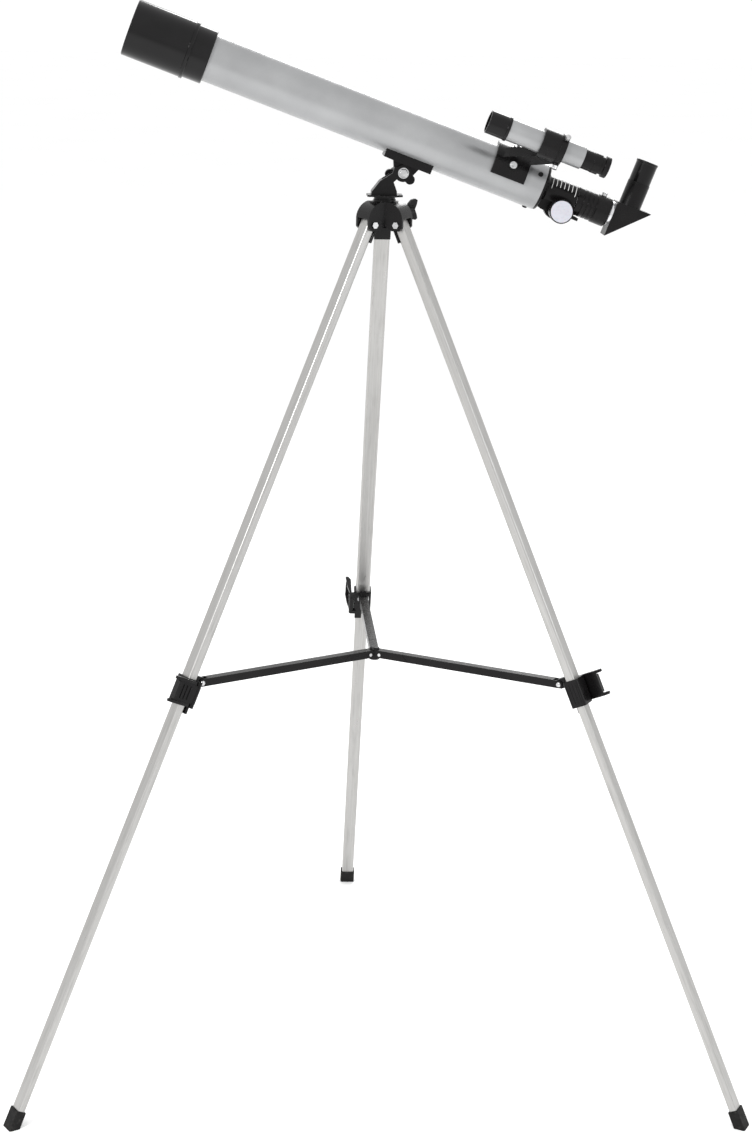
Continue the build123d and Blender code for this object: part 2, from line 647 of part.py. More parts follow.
def make_dew_shield():
    """The hood in front of the lens: a plain tube with a raised ring round its rear."""
    ring_radius = HOOD_RADIUS + 0.95
    dew_shield = turned(tube_side, [
        (HOOD_FRONT, HOOD_BORE), (HOOD_FRONT, HOOD_RADIUS - 0.9), (HOOD_FRONT + 0.9, HOOD_RADIUS),
        (-284.6, HOOD_RADIUS), (-284.0, ring_radius), (HOOD_REAR - 0.6, ring_radius),
        (HOOD_REAR, ring_radius - 0.6), (HOOD_REAR, SPIGOT_RADIUS),
        (CELL_FRONT - 0.6, SPIGOT_RADIUS), (CELL_FRONT - 0.6, HOOD_BORE),
    ])
    save(dew_shield, "dew_shield")


def lens_point(edge, sag, radius):
    """A point halfway out on a spherical face of the given sag and edge."""
    sphere = (sag ** 2 + radius ** 2) / (2 * sag)
    drop = sphere - copysign(sqrt(sphere ** 2 - (radius / 2) ** 2), sphere)
    return (edge - sag + drop, radius / 2)


def lens_solid(plane, front, rear, radius, front_sag, rear_sag):
    """A round lens between two spherical faces; sag is how far a face bulges forwards."""
    with BuildPart() as lens:
        with BuildSketch(plane):
            with BuildLine():
                ThreePointArc((front - front_sag, 0), lens_point(front, front_sag, radius), (front, radius))
                Line((front, radius), (rear, radius))
                ThreePointArc((rear, radius), lens_point(rear, rear_sag, radius), (rear - rear_sag, 0))
                Line((rear - rear_sag, 0), (front - front_sag, 0))
            make_face()
        revolve(axis=Axis(plane.origin, plane.x_dir))
    return lens


def make_objective_lens():
    """The two glasses of the objective, with a thin air gap, and their retaining ring."""
    crown = lens_solid(tube_side, -286.0, -283.4, LENS_RADIUS, 1.0, -1.4)
    flint = lens_solid(tube_side, -283.2, -277.2, LENS_RADIUS, -1.4, -0.3)
    with BuildPart() as objective_lens:
        add(crown.part)
        add(flint.part)
    save(objective_lens, "objective_lens")


def make_lens_ring():
    lens_ring = turned(tube_side, [
        (CELL_FRONT, 24.8), (CELL_FRONT, LENS_RADIUS), (-286.2, LENS_RADIUS), (-286.2, 25.4)])
    save(lens_ring, "lens_ring")


def make_baffles():
    """Two blackened stops inside the tube."""
    with BuildPart() as baffles:
        for along, opening in ((-110.0, 20.0), (30.0, 15.0)):
            with BuildSketch(tube_across(along)):
                Circle(TUBE_RADIUS - TUBE_WALL - 0.05)
                Circle(opening, mode=Mode.SUBTRACT)
            extrude(amount=1.0)
    save(baffles, "baffles")


make_main_tube()
make_lens_cell()
make_dew_shield()
make_objective_lens()
make_lens_ring()
make_baffles()

# ---------------------------------------------------------------- focuser
plug_radius = TUBE_RADIUS - TUBE_WALL - 0.03
pinion_centre = datum + rearward * PINION_ALONG - tube_up * PINION_DROP


def pinion_plane(offset):
    """Across the pinion's axis: x rearwards, y up the tube, z to the near side."""
    return Plane(origin=pinion_centre + near * offset, x_dir=rearward, z_dir=near)


def make_focuser_housing():
    """The moulding in the tube's rear end, with the neck and the pinion's block."""
    with BuildPart() as focuser_housing:
        with BuildSketch(tube_side):
            with BuildLine():
                Polyline((146, 0), (146, plug_radius), (TUBE_REAR, plug_radius), (TUBE_REAR, 27.4), (163.4, 27.4),
                         (164.6, 26.2), (166.5, 18.6), (168.5, NECK_RADIUS), (NECK_REAR - 0.5, NECK_RADIUS),
                         (NECK_REAR, NECK_RADIUS - 0.5), (NECK_REAR, 0), close=True)
            make_face()
        revolve(axis=Axis(tube_side.origin, tube_side.x_dir))
        with BuildSketch(tube_side):
            with BuildLine():
                Polyline((163, -10), (163, -21.5), (170, -23.5), (180, -23.5), (186, -23.2), (196, -23.2),
                         (205.4, -21.5), (215.8, -21.8), (215.8, -18.2), (205.4, -17.2), (205.4, -10), close=True)
            make_face()
        extrude(amount=12.5, both=True)
        with BuildSketch(tube_side):
            with BuildLine():
                Polyline((140, 0), (140, 24), (158, 24), (163, DRAW_RADIUS + 0.06), (210, DRAW_RADIUS + 0.06),
                         (210, 0), close=True)
            make_face()
        revolve(axis=Axis(tube_side.origin, tube_side.x_dir), mode=Mode.SUBTRACT)
        with BuildSketch(tube_side):
            with Locations((PINION_ALONG, -14.5)):
                Rectangle(14, 15)
        extrude(amount=6.2, both=True, mode=Mode.SUBTRACT)
        with BuildSketch(tube_side):
            with BuildLine():
                Polyline((158, -10), (220, -10), (220, -14.6), (158, -14.6), close=True)
            make_face()
        extrude(amount=4.0, both=True, mode=Mode.SUBTRACT)
        with BuildSketch(pinion_plane(-20)):
            Circle(2.0 + PIN_CLEARANCE)
        extrude(amount=40, mode=Mode.SUBTRACT)
    save(focuser_housing, "focuser_housing")


def make_tube_screws():
    """Three screws that hold the housing in the tube."""
    with BuildPart() as tube_screws:
        for angle in (60, 180, 300):
            with BuildSketch(tube_radial(152.5, angle, TUBE_RADIUS)):
                Circle(2.9)
            extrude(amount=1.1)
            with BuildSketch(tube_radial(152.5, angle, TUBE_RADIUS + 1.1)):
                Circle(2.1)
            extrude(amount=0.6)
    save(tube_screws, "tube_screws")


def make_drawtube():
    """The focusing tube, with a toothed rack along its underside."""
    rack_base, rack_tip = 12.2, 13.7
    with BuildPart() as drawtube:
        with BuildSketch(tube_across(DRAW_FRONT)):
            Circle(DRAW_RADIUS)
            Circle(DRAW_BORE, mode=Mode.SUBTRACT)
        extrude(amount=HOLDER_FRONT + 6 - DRAW_FRONT)
        with BuildSketch(tube_side):
            with BuildLine():
                Polyline((DRAW_FRONT + 4, -rack_base), (HOLDER_FRONT, -rack_base), (HOLDER_FRONT, -20),
                         (DRAW_FRONT + 4, -20), close=True)
            make_face()
        extrude(amount=3.6, both=True, mode=Mode.SUBTRACT)
        with BuildSketch(tube_side):
            first_tooth = -int((PINION_ALONG - DRAW_FRONT - 8) / RACK_PITCH)
            for tooth in range(first_tooth, 4):
                middle = PINION_ALONG + (tooth + 0.5) * RACK_PITCH
                with BuildLine():
                    Polyline((middle - 0.75, -rack_base + 0.05), (middle + 0.75, -rack_base + 0.05),
                             (middle + 0.4, -rack_tip), (middle - 0.4, -rack_tip), close=True)
                make_face()
        extrude(amount=3.2, both=True)
    save(drawtube, "drawtube")


def make_eyepiece_holder():
    """The ribbed collar on the drawtube's end that grips the diagonal's barrel."""
    barrel = 12.3
    outline = [(HOLDER_FRONT, DRAW_RADIUS + 0.02), (HOLDER_FRONT, HOLDER_RADIUS - 0.6),
               (HOLDER_FRONT + 0.6, HOLDER_RADIUS)]
    for groove in range(4):
        start = HOLDER_FRONT + 6 + 5.4 * groove
        outline += [(start, HOLDER_RADIUS), (start + 0.4, HOLDER_RADIUS - 0.6),
                    (start + 1.6, HOLDER_RADIUS - 0.6), (start + 2.0, HOLDER_RADIUS)]
    outline += [(230.5, HOLDER_RADIUS), (231.0, HOLDER_RADIUS + 0.7), (246.8, HOLDER_RADIUS + 0.7),
                (HOLDER_REAR, HOLDER_RADIUS - 0.3), (HOLDER_REAR, barrel), (212, barrel),
                (212, DRAW_RADIUS + 0.02)]
    with BuildPart() as eyepiece_holder:
        with BuildSketch(tube_side):
            with BuildLine():
                Polyline(*outline, close=True)
            make_face()
        revolve(axis=Axis(tube_side.origin, tube_side.x_dir))
        with BuildSketch(tube_radial(236, 8, 10)):
            Circle(1.5 + PIN_CLEARANCE)
        extrude(amount=12, mode=Mode.SUBTRACT)
    save(eyepiece_holder, "eyepiece_holder")


def make_holder_screw():
    with BuildPart() as holder_screw:
        with BuildSketch(tube_radial(236, 8, 12.45)):
            Circle(1.5)
        extrude(amount=6)
        with BuildSketch(tube_radial(236, 8, HOLDER_RADIUS + 0.9)):
            Circle(2.9)
            with PolarLocations(2.9, 12):
                Circle(0.35)
        extrude(amount=4.2)
    save(holder_screw, "holder_screw")


def make_focus_shaft():
    """The cross shaft with its pinion."""
    with BuildPart() as focus_shaft:
        with BuildSketch(pinion_plane(-KNOB_OUTER + 1)):
            Circle(2.0)
        extrude(amount=2 * KNOB_OUTER - 2)
        with BuildSketch(pinion_plane(-3.4)):
            Circle(2.95)
            for tooth in range(PINION_TEETH):
                turn = 2 * pi * tooth / PINION_TEETH + pi / 2
                corners = []
                for reach, half in ((2.6, 0.72), (4.5, 0.33), (4.5, -0.33), (2.6, -0.72)):
                    corners.append((reach * cos(turn) - half * sin(turn), reach * sin(turn) + half * cos(turn)))
                with BuildLine():
                    Polyline(*corners, close=True)
                make_face()
        extrude(amount=6.8)
    save(focus_shaft, "focus_shaft")


def make_focus_knobs():
    """A ribbed knob on each end of the shaft, recessed for its cap."""
    with BuildPart() as focus_knobs:
        for direction in (1, -1):
            inner = pinion_plane(direction * KNOB_INNER)
            outward = Plane(origin=inner.origin, x_dir=rearward, z_dir=near * direction)
            with BuildSketch(outward):
                Circle(KNOB_RADIUS)
                with PolarLocations(KNOB_RADIUS + 0.25, 36):
                    Circle(0.62, mode=Mode.SUBTRACT)
            extrude(amount=KNOB_OUTER - KNOB_INNER)
            with BuildSketch(outward.offset(-3.5)):
                Circle(6.5)
            extrude(amount=3.5)
            with BuildSketch(outward.offset(KNOB_OUTER - KNOB_INNER - 0.8)):
                Circle(12.9)
            extrude(amount=2, mode=Mode.SUBTRACT)
            with BuildSketch(outward.offset(-4)):
                Circle(2.0)
            extrude(amount=KNOB_OUTER - KNOB_INNER + 3, mode=Mode.SUBTRACT)
    save(focus_knobs, "focus_knobs")


def make_knob_caps():
    with BuildPart() as knob_caps:
        for direction in (1, -1):
            start = pinion_plane(direction * (KNOB_OUTER - 0.8))
            outward = Plane(origin=start.origin, x_dir=rearward, z_dir=near * direction)
            with BuildSketch(outward):
                Circle(12.85)
            extrude(amount=1.6)
            chamfer(knob_caps.faces().sort_by(Axis.Y)[-1 if direction < 0 else 0].edges(), 0.4)
    save(knob_caps, "knob_caps")


make_focuser_housing()
make_tube_screws()
make_drawtube()
make_eyepiece_holder()
make_holder_screw()
make_focus_shaft()
make_focus_knobs()
make_knob_caps()

# ---------------------------------------------------------------- diagonal and eyepiece
eyepiece_axis = Plane(origin=datum + rearward * EYEPIECE_ALONG, x_dir=tube_up, z_dir=near)


def make_diagonal_barrel():
    """The bright barrel that slides into the holder, with its shoulder ring."""
    barrel = turned(tube_side, [(229, 10.6), (229, 12.25), (249, 12.25), (249, 15.2), (DIAGONAL_FRONT, 15.2),
                                (DIAGONAL_FRONT, 10.6)])
    save(barrel, "diagonal_barrel")


def make_diagonal_body():
    """A right-angled triangular case with the eyepiece's socket on its upper face."""
    low = DIAGONAL_TOP - DIAGONAL_SIZE
    with BuildPart() as diagonal_body:
        with BuildSketch(tube_side):
            with BuildLine():
                Polyline((DIAGONAL_FRONT, low), (DIAGONAL_FRONT + DIAGONAL_SIZE, DIAGONAL_TOP),
                         (DIAGONAL_FRONT, DIAGONAL_TOP), close=True)
            make_face()
        extrude(amount=DIAGONAL_HALF, both=True)
        chamfer(diagonal_body.edges().filter_by(Axis.Y), 0.5)
        socket_plane = Plane(origin=eyepiece_axis.origin + tube_up * (DIAGONAL_TOP - 1), x_dir=rearward, z_dir=tube_up)
        with BuildSketch(socket_plane):
            Circle(13.4)
        extrude(amount=SOCKET_TOP - DIAGONAL_TOP + 1)
        with BuildSketch(tube_side):
            with BuildLine():
                Polyline((DIAGONAL_FRONT + 2.2, low + 7.6), (DIAGONAL_FRONT + DIAGONAL_SIZE - 7.6, DIAGONAL_TOP - 2.2),
                         (DIAGONAL_FRONT + 2.2, DIAGONAL_TOP - 2.2), close=True)
            make_face()
        extrude(amount=DIAGONAL_HALF - 2, both=True, mode=Mode.SUBTRACT)
        with BuildSketch(tube_across(DIAGONAL_FRONT - 1)):
            Circle(10.6)
        extrude(amount=4, mode=Mode.SUBTRACT)
        with BuildSketch(socket_plane.offset(-3)):
            Circle(10.5)
        extrude(amount=6, mode=Mode.SUBTRACT)
        with BuildSketch(socket_plane.offset(3)):
            Circle(12.3)
        extrude(amount=40, mode=Mode.SUBTRACT)
    save(diagonal_body, "diagonal_body")


def make_diagonal_prism():
    low = DIAGONAL_TOP - DIAGONAL_SIZE
    with BuildPart() as diagonal_prism:
        with BuildSketch(tube_side):
            with BuildLine():
                Polyline((DIAGONAL_FRONT + 3.2, low + 11), (DIAGONAL_FRONT + DIAGONAL_SIZE - 11, DIAGONAL_TOP - 3.2),
                         (DIAGONAL_FRONT + 3.2, DIAGONAL_TOP - 3.2), close=True)
            make_face()
        extrude(amount=DIAGONAL_HALF - 2.05, both=True)
    save(diagonal_prism, "diagonal_prism")


def make_eyepiece_body():
    """The eyepiece: a barrel down in the socket, a plain body and a rolled lip."""
    eyepiece_body = turned(eyepiece_axis, [
        (24, 11.3), (24, 12.25), (SOCKET_TOP + 0.05, 12.25), (SOCKET_TOP + 0.05, 12.9), (69.2, 12.9),
        (69.8, 13.3), (71.8, 13.3), (EYEPIECE_TOP, 12.6), (EYEPIECE_TOP, 9.0), (69.5, 7.2), (66.0, 7.2),
        (66.0, 11.3)])
    save(eyepiece_body, "eyepiece_body")


def make_eyepiece_lenses():
    eye_lens = lens_solid(eyepiece_axis, 60.0, 64.6, 11.25, 0.3, -1.2)
    field_lens = lens_solid(eyepiece_axis, 30.0, 34.0, 11.25, 1.2, -0.3)
    with BuildPart() as eyepiece_lenses:
        add(eye_lens.part)
        add(field_lens.part)
    save(eyepiece_lenses, "eyepiece_lenses")


make_diagonal_barrel()
make_diagonal_body()
make_diagonal_prism()
make_eyepiece_body()
make_eyepiece_lenses()

# ---------------------------------------------------------------- finder
SCREW_ANGLES = (45.0, 165.0, 285.0)
SCREW_ALONG = 159.5


def finder_radial(along, angle, reach):
    """Facing out from the finder's axis, at an angle from the top towards the near side."""
    outward = tube_up * cos(radians(angle)) + near * sin(radians(angle))
    return Plane(origin=finder_centre + rearward * along + outward * reach, x_dir=rearward, z_dir=outward)


def make_finder_bracket():
    """A foot curved to the tube, a raked web, and a ring with three screw bosses."""
    web_plane = Plane(origin=datum, x_dir=rearward,
                      z_dir=rearward.cross(tube_radial(0, FINDER_ANGLE, 1).z_dir))
    ring_reach = FINDER_OFFSET - RING_RADIUS + 1
    wedge = []
    for offset in (-52, -26, 0, 26, 52):
        angle = radians(FINDER_ANGLE + offset)
        wedge.append((-50 * sin(angle), 50 * cos(angle)))
    with BuildPart() as finder_bracket:
        with BuildSketch(tube_across(95)):
            with BuildLine():
                Polyline((0, 0), *wedge, close=True)
            make_face()
            Circle(TUBE_RADIUS + 4.4, mode=Mode.INTERSECT)
            Circle(TUBE_RADIUS + 0.02, mode=Mode.SUBTRACT)
        extrude(amount=42)
        with BuildSketch(web_plane):
            with BuildLine():
                Polyline((102, TUBE_RADIUS + 3), (137, TUBE_RADIUS + 3), (137, TUBE_RADIUS + 8), (RING_REAR - 2, ring_reach),
                         (RING_FRONT + 2, ring_reach), (108, TUBE_RADIUS + 8), close=True)
            make_face()
        extrude(amount=7.5, both=True)
        with BuildSketch(Plane(origin=finder_centre + rearward * RING_FRONT, x_dir=-near, z_dir=rearward)):
            Circle(RING_RADIUS - 0.8)
        extrude(amount=RING_REAR - RING_FRONT)
        with BuildSketch(Plane(origin=finder_centre + rearward * (RING_REAR - 7), x_dir=-near, z_dir=rearward)):
            Circle(RING_RADIUS + 0.2)
        extrude(amount=7)
        for angle in SCREW_ANGLES:
            with BuildSketch(finder_radial(SCREW_ALONG, angle, 12)):
                Circle(3.6)
            extrude(amount=7.6)
        with BuildSketch(finder_side):
            with BuildLine():
                Polyline((RING_FRONT - 1, 0), (RING_FRONT - 1, FINDER_RADIUS + 0.02),
                         (RING_FRONT + 4, FINDER_RADIUS + 0.02), (RING_FRONT + 4, 15.4),
                         (RING_REAR + 1, 15.4), (RING_REAR + 1, 0), close=True)
            make_face()
        revolve(axis=Axis(finder_side.origin, finder_side.x_dir), mode=Mode.SUBTRACT)
        for angle in SCREW_ANGLES:
            with BuildSketch(finder_radial(SCREW_ALONG, angle, 10)):
                Circle(1.4 + PIN_CLEARANCE)
            extrude(amount=14, mode=Mode.SUBTRACT)
    save(finder_bracket, "finder_bracket")


def make_bracket_nuts():
    """The two knurled nuts, on their studs, that hold the finder's bracket to the tube."""
    with BuildPart() as bracket_nuts:
        for angle in (FINDER_ANGLE - 24, FINDER_ANGLE + 24):
            with BuildSketch(tube_radial(117, angle, TUBE_RADIUS + 4.42)):
                Circle(4.2)
                with PolarLocations(4.2, 16):
                    Circle(0.4)
            extrude(amount=4.6)
            with BuildSketch(tube_radial(117, angle, TUBE_RADIUS + 9)):
                Circle(1.9)
            extrude(amount=2.2)
    save(bracket_nuts, "bracket_nuts")


def make_finder_tube():
    finder_tube = turned(finder_side, [
        (FINDER_HOOD_REAR - 8, FINDER_RADIUS - 0.9), (FINDER_HOOD_REAR - 8, FINDER_RADIUS),
        (FINDER_REAR, FINDER_RADIUS), (FINDER_REAR, FINDER_RADIUS - 0.9)])
    save(finder_tube, "finder_tube")


def make_finder_hood():
    finder_hood = turned(finder_side, [
        (FINDER_FRONT, 11.9), (FINDER_FRONT, 13.2), (FINDER_FRONT + 0.6, 13.6), (FINDER_HOOD_REAR - 3.5, 13.7),
        (FINDER_HOOD_REAR - 3.0, 14.5),
        (FINDER_HOOD_REAR, 14.5), (FINDER_HOOD_REAR, FINDER_RADIUS + 0.02),
        (FINDER_HOOD_REAR - 8, FINDER_RADIUS + 0.02), (FINDER_HOOD_REAR - 8, 11.9)])
    save(finder_hood, "finder_hood")


def make_finder_lenses():
    """The finder's small objective."""
    finder_lens = lens_solid(finder_side, FINDER_HOOD_REAR - 6, FINDER_HOOD_REAR - 3, 12.25, 0.9, -0.9)
    save(finder_lens, "finder_lens")


def make_finder_eyepiece():
    """The finder's own eyepiece, with a spigot that slides in its tube and a notched eye end."""
    end, spigot = FINDER_REAR, FINDER_RADIUS - 1.0
    finder_eyepiece = turned(finder_side, [
        (end - 16.5, 8.6), (end - 16.5, spigot), (end + 0.3, spigot), (end + 0.3, 11.6), (end + 12.5, 11.6),
        (end + 12.9, 12.0), (end + 21.3, 12.0), (end + 21.7, 10.4), (end + 25.5, 10.4), (end + 26.1, 12.5),
        (FINDER_END - 0.6, 12.5), (FINDER_END, 12.0), (FINDER_END, 7.0), (end + 28.5, 5.2),
        (end + 24.5, 5.2), (end + 24.5, 8.6)])
    save(finder_eyepiece, "finder_eyepiece")


def make_finder_eye_lens():
    eye_lens = lens_solid(finder_side, FINDER_REAR + 18, FINDER_REAR + 23.5, 8.55, 0.4, -1.0)
    save(eye_lens, "finder_eye_lens")


def make_finder_screw(number, angle):
    with BuildPart() as finder_screw:
        with BuildSketch(finder_radial(SCREW_ALONG, angle, FINDER_RADIUS + 0.12)):
            Circle(1.4)
        extrude(amount=8)
        with BuildSketch(finder_radial(SCREW_ALONG, angle, 19.9)):
            Circle(3.0)
            with PolarLocations(3.0, 12):
                Circle(0.35)
        extrude(amount=4.4)
    save(finder_screw, f"finder_screw_{number}")


make_finder_bracket()
make_bracket_nuts()
make_finder_tube()
make_finder_hood()
make_finder_lenses()
make_finder_eyepiece()
make_finder_eye_lens()
for screw_number, screw_angle in enumerate(SCREW_ANGLES, start=1):
    make_finder_screw(screw_number, screw_angle)
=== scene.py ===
import json
from math import cos, pi, radians, sin

import bmesh
import bpy
from mathutils import Matrix, Vector


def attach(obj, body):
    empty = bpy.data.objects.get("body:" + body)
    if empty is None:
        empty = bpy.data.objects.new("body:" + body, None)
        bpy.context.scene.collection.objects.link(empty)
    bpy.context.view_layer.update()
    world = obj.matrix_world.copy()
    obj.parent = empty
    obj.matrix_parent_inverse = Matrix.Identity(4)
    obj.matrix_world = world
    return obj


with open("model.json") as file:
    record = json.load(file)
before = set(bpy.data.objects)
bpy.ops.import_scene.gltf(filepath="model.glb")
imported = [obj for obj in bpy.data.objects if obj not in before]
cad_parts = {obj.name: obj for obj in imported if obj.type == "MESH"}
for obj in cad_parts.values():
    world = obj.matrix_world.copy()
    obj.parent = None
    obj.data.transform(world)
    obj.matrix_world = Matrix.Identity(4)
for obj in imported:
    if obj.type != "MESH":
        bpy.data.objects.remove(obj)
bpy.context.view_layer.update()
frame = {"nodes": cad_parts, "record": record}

record = frame["record"]
joints = {joint["name"]: joint for joint in record["behaviour"]["joints"]}

# The telescope's own directions, and the point on its axis from which its lengths are counted.
rearward = Vector(joints["focus"]["axis"])
tube_up = Vector(joints["eyepiece_slide"]["axis"])
near = Vector((0, -1, 0))
DIAGONAL_FRONT = 0.252
datum = Vector(joints["diagonal_turn"]["pos_m"]) - rearward * DIAGONAL_FRONT
NECK_RADIUS = 0.0165
ARM_HALF_WIDTH = 0.0065
ARM_RIVET_RADIUS = 0.0030
LEGS = (1, 2, 3)


# ---------------------------------------------------------------- materials
# Places of the sockets of a Mix node that blends colours.
MIX_FACTOR, MIX_FIRST, MIX_SECOND, MIX_RESULT = 0, 6, 7, 2


class Surface:
    """A Principled material, with the noise, colour and bump nodes that give it its grain."""

    def __init__(self, name, color, roughness, metallic=0.0):
        self.material = bpy.data.materials.new(name)
        self.material.use_nodes = True
        self.material.diffuse_color = (*color, 1.0)
        self.tree = self.material.node_tree
        self.shader = self.tree.nodes["Principled BSDF"]
        self.color = color
        self.shader.inputs["Base Color"].default_value = (*color, 1.0)
        self.shader.inputs["Roughness"].default_value = roughness
        self.shader.inputs["Metallic"].default_value = metallic
        self.coordinates = self.tree.nodes.new("ShaderNodeTexCoord").outputs["Object"]
        self.normal = None

    def set(self, **values):
        """Constants on the shader's own sockets, named with underscores for spaces."""
        for name, value in values.items():
            self.shader.inputs[name.replace("_", " ")].default_value = value
        return self

    def noise(self, scale, detail=3.0, stretch=None, direction=None):
        """Noise of so many features a metre; stretch squeezes it, and direction is what it runs along."""
        vector = self.coordinates
        if stretch:
            mapping = self.tree.nodes.new("ShaderNodeMapping")
            mapping.vector_type = "TEXTURE"
            if direction:
                mapping.inputs["Rotation"].default_value = direction.to_track_quat("Z", "Y").to_euler()
            mapping.inputs["Scale"].default_value = stretch
            self.tree.links.new(vector, mapping.inputs["Vector"])
            vector = mapping.outputs["Vector"]
        texture = self.tree.nodes.new("ShaderNodeTexNoise")
        texture.inputs["Scale"].default_value = scale
        texture.inputs["Detail"].default_value = detail
        self.tree.links.new(vector, texture.inputs["Vector"])
        return texture.outputs["Fac"]

    def spread(self, factor, low, high, start=0.3, end=0.7):
        """Maps a factor's useful middle onto a range of values."""
        node = self.tree.nodes.new("ShaderNodeMapRange")
        node.inputs["From Min"].default_value = start
        node.inputs["From Max"].default_value = end
        node.inputs["To Min"].default_value = low
        node.inputs["To Max"].default_value = high
        self.tree.links.new(factor, node.inputs["Value"])
        return node.outputs["Result"]

    def tint(self, factor, other, start=0.3, end=0.7):
        """Blends the base colour towards another by a factor, over what is there already."""
        blend = self.tree.nodes.new("ShaderNodeMix")
        blend.data_type = "RGBA"
        socket = self.shader.inputs["Base Color"]
        if socket.links:
            self.tree.links.new(socket.links[0].from_socket, blend.inputs[MIX_FIRST])
        else:
            blend.inputs[MIX_FIRST].default_value = (*self.color, 1.0)
        blend.inputs[MIX_SECOND].default_value = (*other, 1.0)
        self.tree.links.new(self.spread(factor, 0.0, 1.0, start, end), blend.inputs[MIX_FACTOR])
        self.tree.links.new(blend.outputs[MIX_RESULT], socket)
        return self

    def roughen(self, factor, low, high):
        self.tree.links.new(self.spread(factor, low, high), self.shader.inputs["Roughness"])
        return self

    def round_edges(self, radius):
        """Catches the light along moulded or drawn edges."""
        bevel = self.tree.nodes.new("ShaderNodeBevel")
        bevel.samples = 4
        bevel.inputs["Radius"].default_value = radius
        self.normal = bevel.outputs["Normal"]
        self.tree.links.new(self.normal, self.shader.inputs["Normal"])
        return self

    def bump(self, factor, strength, depth):
        node = self.tree.nodes.new("ShaderNodeBump")
        node.inputs["Strength"].default_value = strength
        node.inputs["Distance"].default_value = depth
        self.tree.links.new(factor, node.inputs["Height"])
        if self.normal:
            self.tree.links.new(self.normal, node.inputs["Normal"])
        self.normal = node.outputs["Normal"]
        self.tree.links.new(self.normal, self.shader.inputs["Normal"])
        return self


def silver_paint():
    """Satin metallic paint: fine flake, a little orange peel, faint handling marks."""
    paint = Surface("silver_paint", (0.33, 0.333, 0.337), 0.34, metallic=0.75)
    paint.set(Coat_Weight=0.18, Coat_Roughness=0.22)
    paint.tint(paint.noise(4200, 1.0), (0.43, 0.435, 0.44), 0.45, 0.8)
    paint.tint(paint.noise(14, 4.0), (0.29, 0.293, 0.297))
    paint.roughen(paint.noise(60, 5.0), 0.31, 0.42)
    paint.bump(paint.noise(420, 2.0), 0.12, 0.00006)
    return paint.bump(paint.noise(4200, 1.0), 0.10, 0.00002).material


def drawn_aluminium(number):
    """Anodised tube with drawing lines along it and a few duller patches."""
    along = Vector(joints[f"leg_slide_{number}"]["axis"])
    metal = Surface(f"leg_aluminium_{number}", (0.40, 0.395, 0.385), 0.33, metallic=0.9)
    lines = metal.noise(1.0, 4.0, stretch=(0.0009, 0.0009, 0.16), direction=along)
    scuffs = metal.noise(1.0, 6.0, stretch=(0.004, 0.004, 0.03), direction=along)
    metal.tint(scuffs, (0.33, 0.325, 0.315), 0.5, 0.78)
    metal.tint(lines, (0.47, 0.465, 0.455), 0.45, 0.75)
    metal.roughen(scuffs, 0.27, 0.42)
    metal.round_edges(0.0004)
    return metal.bump(lines, 0.22, 0.00005).material


def black_plastic():
    """Moulded plastic with a spark-eroded grain, slightly polished where it is handled."""
    plastic = Surface("black_plastic", (0.0030, 0.0028, 0.0030), 0.32)
    plastic.set(Specular_IOR_Level=0.17)
    plastic.tint(plastic.noise(38, 4.0), (0.0055, 0.0050, 0.0052))
    plastic.tint(plastic.noise(900, 2.0), (0.013, 0.012, 0.012), 0.66, 0.86)
    plastic.roughen(plastic.noise(90, 4.0), 0.20, 0.34)
    plastic.round_edges(0.00045)
    return plastic.bump(plastic.noise(2600, 2.0), 0.10, 0.00004).material


def black_satin():
    """The smoother black of the hood, the lens cell and the eyepiece."""
    plastic = Surface("black_satin", (0.0024, 0.0022, 0.0024), 0.13)
    plastic.set(Specular_IOR_Level=0.24)
    plastic.tint(plastic.noise(30, 4.0), (0.0045, 0.0043, 0.0045))
    plastic.roughen(plastic.noise(120, 5.0), 0.10, 0.17)
    plastic.round_edges(0.0004)
    return plastic.bump(plastic.noise(1900, 2.0), 0.05, 0.00003).material


def black_paint():
    paint = Surface("black_paint", (0.004, 0.004, 0.004), 0.5)
    paint.set(Specular_IOR_Level=0.2)
    paint.tint(paint.noise(300, 3.0), (0.008, 0.008, 0.008))
    return paint.bump(paint.noise(1500, 2.0), 0.2, 0.00005).material


def bright_metal():
    """Nickel-like plating with faint wipe marks along the tube."""
    metal = Surface("bright_metal", (0.72, 0.72, 0.73), 0.12, metallic=1.0)
    wipes = metal.noise(1.0, 4.0, stretch=(0.002, 0.002, 0.03), direction=rearward)
    metal.tint(wipes, (0.62, 0.62, 0.64))
    return metal.roughen(wipes, 0.08, 0.2).material


def bolt_steel():
    """Zinc-plated steel, a little blotchy."""
    metal = Surface("bolt_steel", (0.62, 0.62, 0.62), 0.20, metallic=1.0)
    metal.tint(metal.noise(260, 4.0), (0.46, 0.46, 0.47))
    metal.roughen(metal.noise(700, 3.0), 0.16, 0.30)
    metal.round_edges(0.0003)
    return metal.bump(metal.noise(2200, 2.0), 0.18, 0.00004).material


def white_cap():
    plastic = Surface("white_cap", (0.47, 0.47, 0.51), 0.28)
    plastic.set(Subsurface_Weight=0.08, Subsurface_Scale=0.0015)
    plastic.tint(plastic.noise(120, 3.0), (0.43, 0.43, 0.475))
    plastic.roughen(plastic.noise(300, 3.0), 0.22, 0.36)
    return plastic.bump(plastic.noise(1500, 2.0), 0.08, 0.00003).material


def foot_rubber():
    """Matt rubber, dusted and scuffed grey near the floor."""
    rubber = Surface("foot_rubber", (0.006, 0.0058, 0.0056), 0.72)
    rubber.set(Specular_IOR_Level=0.2)
    rubber.tint(rubber.noise(240, 5.0), (0.030, 0.028, 0.026), 0.55, 0.85)
    rubber.roughen(rubber.noise(160, 4.0), 0.62, 0.82)
    rubber.round_edges(0.0006)
    return rubber.bump(rubber.noise(1400, 3.0), 0.35, 0.00012).material


